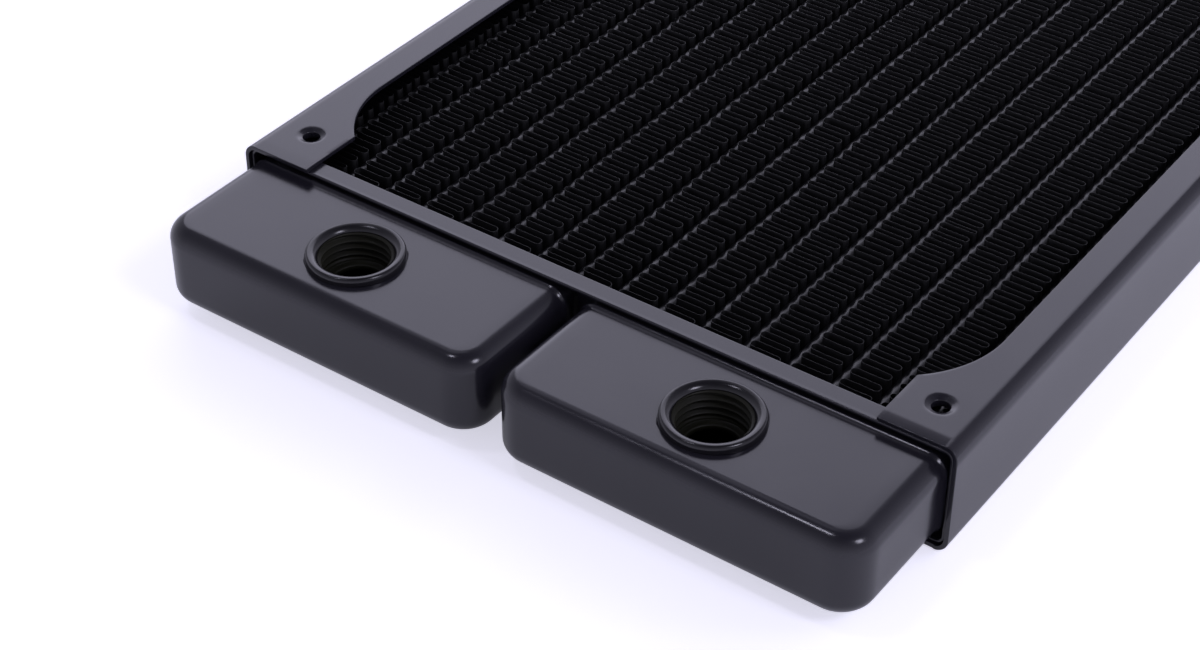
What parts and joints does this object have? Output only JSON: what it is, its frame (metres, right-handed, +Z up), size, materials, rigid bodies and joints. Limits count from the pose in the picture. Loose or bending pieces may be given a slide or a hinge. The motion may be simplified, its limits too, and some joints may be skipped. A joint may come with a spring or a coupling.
{
  "type": "liquid cooling radiator",
  "caption": "Slim black radiator with finned flat tubes, folded side plates with fan screw holes, split front tank with threaded ports and a return tank.",
  "frame": {"origin": "middle of the footprint, level with the undersides of the side plates", "axes": "+Z up, out of the face that carries the ports; +Y along the radiator, from the ports to the return tank; X across"},
  "size_m": [0.14, 0.32, 0.02],
  "materials": {
    "black_paint": "satin black paint",
    "gloss_paint": "black paint, smoother and glossier on the turned inserts",
    "core_paint": "thin matt black paint on fins and tubes"
  },
  "bodies": {
    "root": {"left_side_plate": "black_paint", "right_side_plate": "black_paint", "front_header": "black_paint", "rear_header": "black_paint", "left_tank": "black_paint", "right_tank": "black_paint", "return_tank": "black_paint", "left_port": "gloss_paint", "right_port": "gloss_paint", "tube_01": "core_paint", "tube_02": "core_paint", "tube_03": "core_paint", "tube_04": "core_paint", "tube_05": "core_paint", "tube_06": "core_paint", "tube_07": "core_paint", "tube_08": "core_paint", "tube_09": "core_paint", "tube_10": "core_paint", "tube_11": "core_paint", "tube_12": "core_paint", "tube_13": "core_paint", "tube_14": "core_paint", "tube_15": "core_paint", "tube_16": "core_paint", "fin_01": "core_paint", "fin_02": "core_paint", "fin_03": "core_paint", "fin_04": "core_paint", "fin_05": "core_paint", "fin_06": "core_paint", "fin_07": "core_paint", "fin_08": "core_paint", "fin_09": "core_paint", "fin_10": "core_paint", "fin_11": "core_paint", "fin_12": "core_paint", "fin_13": "core_paint", "fin_14": "core_paint", "fin_15": "core_paint", "fin_16": "core_paint", "fin_17": "core_paint"}
  },
  "joints": []
}
